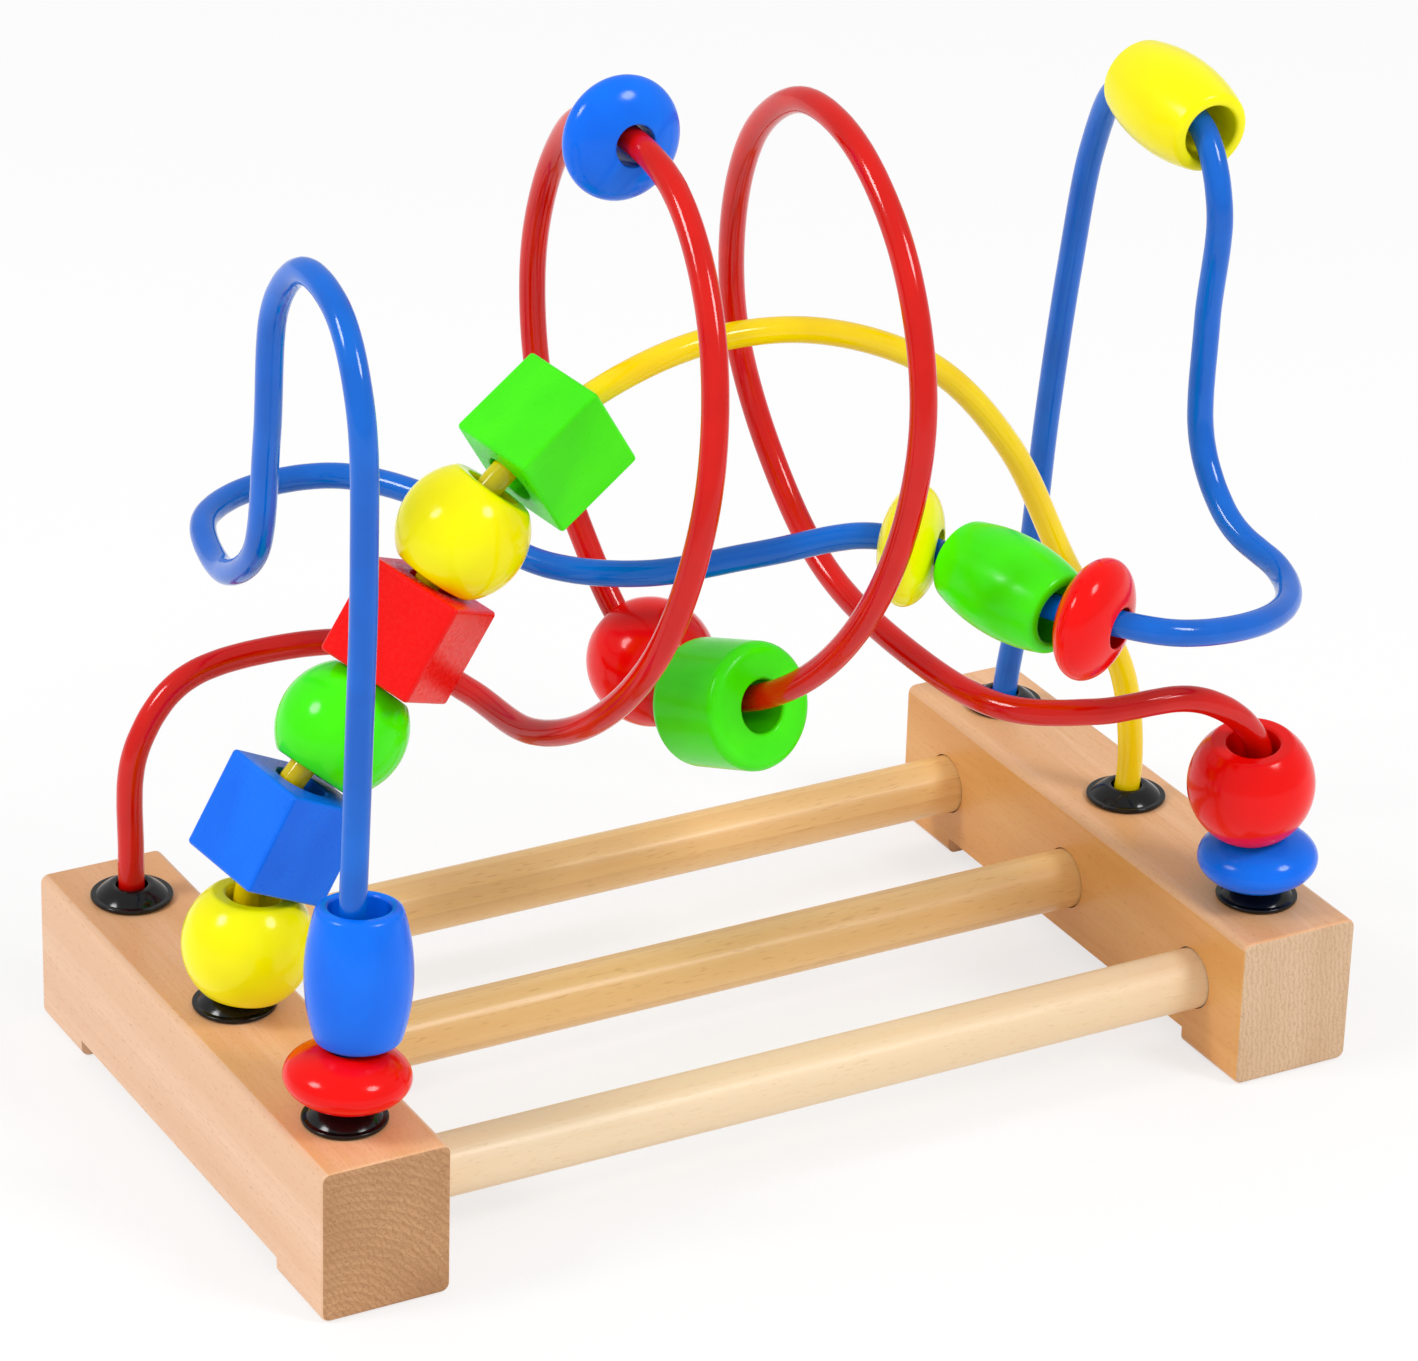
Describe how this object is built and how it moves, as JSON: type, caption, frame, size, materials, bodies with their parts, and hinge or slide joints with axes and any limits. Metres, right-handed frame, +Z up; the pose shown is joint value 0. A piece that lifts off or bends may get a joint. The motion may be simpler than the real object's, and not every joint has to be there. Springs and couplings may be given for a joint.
{
  "type": "bead maze",
  "caption": "Wooden bead maze: end blocks joined by dowels carry bent coloured wires, along which painted balls, cubes, discs and barrels slide and spin.",
  "frame": {"origin": "middle of the whole outline seen from above, at floor level", "axes": "+X along the dowels from the left block to the right one, +Y away from the viewer along the blocks, +Z up"},
  "size_m": [0.252, 0.1598, 0.2294],
  "materials": {
    "block_wood": "satin",
    "dowel_wood": "satin",
    "cap_plastic": "gloss",
    "wire_red": "gloss",
    "wire_blue": "gloss",
    "wire_yellow": "gloss",
    "paint_red": "gloss",
    "paint_blue": "gloss",
    "paint_yellow": "gloss",
    "paint_green": "gloss"
  },
  "bodies": {
    "base": {"left_block": "block_wood", "right_block": "block_wood", "dowel_near": "dowel_wood", "dowel_mid": "dowel_wood", "dowel_far": "dowel_wood", "grommet_left_near": "cap_plastic", "grommet_left_mid": "cap_plastic", "grommet_left_far": "cap_plastic", "grommet_right_near": "cap_plastic", "grommet_right_mid": "cap_plastic", "grommet_right_far": "cap_plastic", "wire_yellow": "wire_yellow", "wire_red": "wire_red", "wire_blue": "wire_blue"},
    "yellow_ball_low": {"yellow_ball_low": "paint_yellow"},
    "blue_cube": {"blue_cube": "paint_blue"},
    "green_ball": {"green_ball": "paint_green"},
    "red_cube": {"red_cube": "paint_red"},
    "yellow_ball_high": {"yellow_ball_high": "paint_yellow"},
    "green_cube": {"green_cube": "paint_green"},
    "red_disc_left": {"red_disc_left": "paint_red"},
    "blue_barrel": {"blue_barrel": "paint_blue"},
    "yellow_disc": {"yellow_disc": "paint_yellow"},
    "green_barrel": {"green_barrel": "paint_green"},
    "red_disc_right": {"red_disc_right": "paint_red"},
    "yellow_barrel": {"yellow_barrel": "paint_yellow"},
    "blue_disc_top": {"blue_disc_top": "paint_blue"},
    "red_ball_middle": {"red_ball_middle": "paint_red"},
    "green_drum": {"green_drum": "paint_green"},
    "red_ball_right": {"red_ball_right": "paint_red"},
    "blue_disc_right": {"blue_disc_right": "paint_blue"}
  },
  "joints": [
    {"name": "yellow_ball_low_spin", "type": "hinge", "parent": "base", "child": "yellow_ball_low", "pos_m": [-0.10982, 0.00241, 0.05059], "axis": [0.1287, 0, 0.9917], "continuous": true},
    {"name": "blue_cube_spin", "type": "hinge", "parent": "base", "child": "blue_cube", "pos_m": [-0.10231, 0.00333, 0.07546], "axis": [0.4796, -0.0157, 0.8773], "continuous": true},
    {"name": "green_ball_spin", "type": "hinge", "parent": "base", "child": "green_ball", "pos_m": [-0.087, 0.00412, 0.09537], "axis": [0.6646, 0.1097, 0.7391], "continuous": true},
    {"name": "red_cube_spin", "type": "hinge", "parent": "base", "child": "red_cube", "pos_m": [-0.07201, 0.00333, 0.11518], "axis": [0.5226, -0.0157, 0.8524], "continuous": true},
    {"name": "yellow_ball_high_spin", "type": "hinge", "parent": "base", "child": "yellow_ball_high", "pos_m": [-0.05974, 0.00294, 0.13564], "axis": [0.5988, -0.0549, 0.799], "continuous": true},
    {"name": "green_cube_travel", "type": "hinge", "parent": "base", "child": "green_cube", "pos_m": [0.00699, 0.00458, 0.08727], "axis": [0, 1, -0.0003], "range_deg": [0, 90]},
    {"name": "red_disc_left_spin", "type": "hinge", "parent": "base", "child": "red_disc_left", "pos_m": [-0.11138, -0.04934, 0.04533], "axis": [0.0605, 0.0208, 0.9979], "continuous": true},
    {"name": "blue_barrel_travel", "type": "slide", "parent": "base", "child": "blue_barrel", "axis": [0.0016, -0.0109, 0.9999], "range_m": [0, 0.11]},
    {"name": "yellow_disc_travel", "type": "hinge", "parent": "base", "child": "yellow_disc", "pos_m": [-0.02374, -0.07202, 0.1038], "axis": [-0.512, -0.4357, 0.7403], "range_deg": [0, 32]},
    {"name": "green_barrel_spin", "type": "hinge", "parent": "base", "child": "green_barrel", "pos_m": [0.04652, -0.04373, 0.12143], "axis": [0.2306, -0.9699, -0.078], "continuous": true},
    {"name": "red_disc_right_travel", "type": "hinge", "parent": "base", "child": "red_disc_right", "pos_m": [0.07565, -0.04994, 0.11996], "axis": [0.1334, 0.0213, 0.9908], "range_deg": [0, 85]},
    {"name": "yellow_barrel_spin", "type": "hinge", "parent": "base", "child": "yellow_barrel", "pos_m": [0.11088, 0.00165, 0.20447], "axis": [-0.0057, 0.9943, 0.1067], "continuous": true},
    {"name": "blue_disc_top_travel", "type": "hinge", "parent": "base", "child": "blue_disc_top", "pos_m": [-0.0378, 0.00894, 0.16465], "axis": [0.9782, 0.0966, -0.1839], "range_deg": [0, 64]},
    {"name": "red_ball_middle_travel", "type": "hinge", "parent": "base", "child": "red_ball_middle", "pos_m": [-0.00504, -0.00703, 0.13844], "axis": [0.9862, 0.1545, 0.0594], "range_deg": [0, 48]},
    {"name": "green_drum_travel", "type": "hinge", "parent": "base", "child": "green_drum", "pos_m": [0.00389, 0.01793, 0.15275], "axis": [-0.9678, -0.2248, 0.1136], "range_deg": [0, 100]},
    {"name": "red_ball_right_travel", "type": "hinge", "parent": "base", "child": "red_ball_right", "pos_m": [0.08112, -0.04409, 0.0624], "axis": [-0.1862, -0.9611, -0.2042], "range_deg": [0, 102]},
    {"name": "blue_disc_right_spin", "type": "hinge", "parent": "base", "child": "blue_disc_right", "pos_m": [0.11149, -0.04944, 0.04533], "axis": [-0.0507, -0.0097, 0.9987], "continuous": true}
  ]
}
